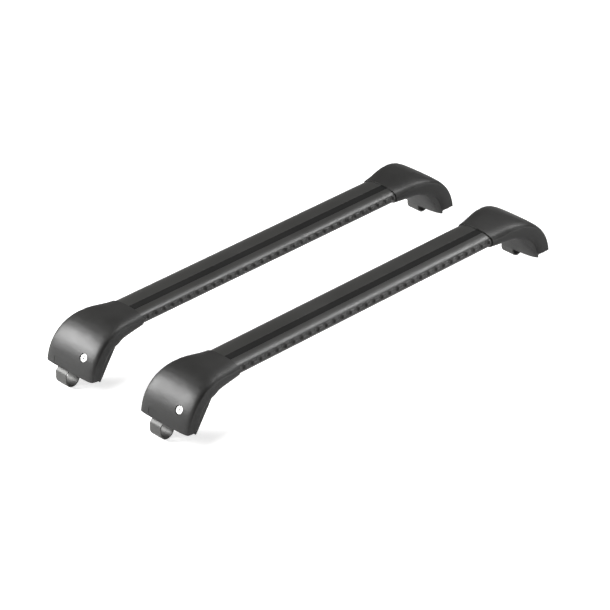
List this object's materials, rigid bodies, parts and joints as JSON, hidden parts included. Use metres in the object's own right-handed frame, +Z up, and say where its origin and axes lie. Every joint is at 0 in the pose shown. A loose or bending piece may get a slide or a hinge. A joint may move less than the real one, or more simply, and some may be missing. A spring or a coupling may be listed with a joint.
{
  "type": "pair of roof cross bars",
  "caption": "Pair of flattened-oval roof cross bars with hooded lockable feet whose screw-drawn straps clamp around raised roof rails.",
  "frame": {"origin": "midway between the bars and between their ends, level with the lower edge of the hoods", "axes": "+X along the bars to the vehicle's left, +Y to its rear, +Z up"},
  "size_m": [0.925, 0.362, 0.1189],
  "materials": {
    "bar": "satin black powder coat",
    "strip": "matt extruded rubber",
    "hood": "fine-grained moulded black",
    "base": "moulded black",
    "pad": "soft rubber",
    "strap": "dark coated steel",
    "nut": "zinc plated",
    "washer": "zinc plated",
    "screw": "zinc plated",
    "housing": "moulded black",
    "barrel": "bright plated",
    "cam": "zinc plated",
    "bar_screw": "zinc plated"
  },
  "bodies": {
    "bars": {"front_bar_profile": "bar", "front_slot_strip": "strip", "front_left_hood": "hood", "front_left_foot_base": "base", "front_left_rail_pad": "pad", "front_left_thrust_washer": "washer", "front_left_lock_housing": "housing", "front_left_bar_screws": "bar_screw", "front_right_hood": "hood", "front_right_foot_base": "base", "front_right_rail_pad": "pad", "front_right_thrust_washer": "washer", "front_right_lock_housing": "housing", "front_right_bar_screws": "bar_screw", "rear_bar_profile": "bar", "rear_slot_strip": "strip", "rear_left_hood": "hood", "rear_left_foot_base": "base", "rear_left_rail_pad": "pad", "rear_left_thrust_washer": "washer", "rear_left_lock_housing": "housing", "rear_left_bar_screws": "bar_screw", "rear_right_hood": "hood", "rear_right_foot_base": "base", "rear_right_rail_pad": "pad", "rear_right_thrust_washer": "washer", "rear_right_lock_housing": "housing", "rear_right_bar_screws": "bar_screw"},
    "front_left_strap_body": {"front_left_strap": "strap", "front_left_strap_nut": "nut"},
    "front_left_screw_body": {"front_left_clamp_screw": "screw"},
    "front_left_lock_body": {"front_left_lock_barrel": "barrel", "front_left_lock_cam": "cam"},
    "front_right_strap_body": {"front_right_strap": "strap", "front_right_strap_nut": "nut"},
    "front_right_screw_body": {"front_right_clamp_screw": "screw"},
    "front_right_lock_body": {"front_right_lock_barrel": "barrel", "front_right_lock_cam": "cam"},
    "rear_left_strap_body": {"rear_left_strap": "strap", "rear_left_strap_nut": "nut"},
    "rear_left_screw_body": {"rear_left_clamp_screw": "screw"},
    "rear_left_lock_body": {"rear_left_lock_barrel": "barrel", "rear_left_lock_cam": "cam"},
    "rear_right_strap_body": {"rear_right_strap": "strap", "rear_right_strap_nut": "nut"},
    "rear_right_screw_body": {"rear_right_clamp_screw": "screw"},
    "rear_right_lock_body": {"rear_right_lock_barrel": "barrel", "rear_right_lock_cam": "cam"}
  },
  "joints": [
    {"name": "front_left_screw_turn", "type": "hinge", "parent": "bars", "child": "front_left_screw_body", "pos_m": [0.43925, -0.1015, 0.0185], "axis": [0, 0, -1], "range_deg": [-2700, 0]},
    {"name": "front_left_strap_slide", "type": "slide", "parent": "bars", "child": "front_left_strap_body", "axis": [0, 0, 1], "range_m": [-0.0075, 0]},
    {"name": "front_left_lock_turn", "type": "hinge", "parent": "bars", "child": "front_left_lock_body", "pos_m": [0.44441, -0.15, 0.0315], "axis": [-0.8624, 0, -0.5063], "range_deg": [0, 90]},
    {"name": "front_right_screw_turn", "type": "hinge", "parent": "bars", "child": "front_right_screw_body", "pos_m": [-0.43925, -0.1015, 0.0185], "axis": [0, 0, -1], "range_deg": [0, 2700]},
    {"name": "front_right_strap_slide", "type": "slide", "parent": "bars", "child": "front_right_strap_body", "axis": [0, 0, 1], "range_m": [0, 0.0075]},
    {"name": "front_right_lock_turn", "type": "hinge", "parent": "bars", "child": "front_right_lock_body", "pos_m": [-0.44441, -0.15, 0.0315], "axis": [-0.8624, 0, 0.5063], "range_deg": [0, 90]},
    {"name": "rear_left_screw_turn", "type": "hinge", "parent": "bars", "child": "rear_left_screw_body", "pos_m": [0.43925, 0.1405, 0.0185], "axis": [0, 0, -1], "range_deg": [-2700, 0]},
    {"name": "rear_left_strap_slide", "type": "slide", "parent": "bars", "child": "rear_left_strap_body", "axis": [0, 0, 1], "range_m": [-0.0075, 0]},
    {"name": "rear_left_lock_turn", "type": "hinge", "parent": "bars", "child": "rear_left_lock_body", "pos_m": [0.44441, 0.092, 0.0315], "axis": [-0.8624, 0, -0.5063], "range_deg": [0, 90]},
    {"name": "rear_right_screw_turn", "type": "hinge", "parent": "bars", "child": "rear_right_screw_body", "pos_m": [-0.43925, 0.1405, 0.0185], "axis": [0, 0, -1], "range_deg": [0, 2700]},
    {"name": "rear_right_strap_slide", "type": "slide", "parent": "bars", "child": "rear_right_strap_body", "axis": [0, 0, 1], "range_m": [0, 0.0075]},
    {"name": "rear_right_lock_turn", "type": "hinge", "parent": "bars", "child": "rear_right_lock_body", "pos_m": [-0.44441, 0.092, 0.0315], "axis": [-0.8624, 0, 0.5063], "range_deg": [0, 90]}
  ],
  "couplings": [
    {"joint": "front_left_screw_turn", "follows": "front_left_strap_slide", "rad_per_m": 6283.2},
    {"joint": "front_right_screw_turn", "follows": "front_right_strap_slide", "rad_per_m": 6283.2},
    {"joint": "rear_left_screw_turn", "follows": "rear_left_strap_slide", "rad_per_m": 6283.2},
    {"joint": "rear_right_screw_turn", "follows": "rear_right_strap_slide", "rad_per_m": 6283.2}
  ]
}
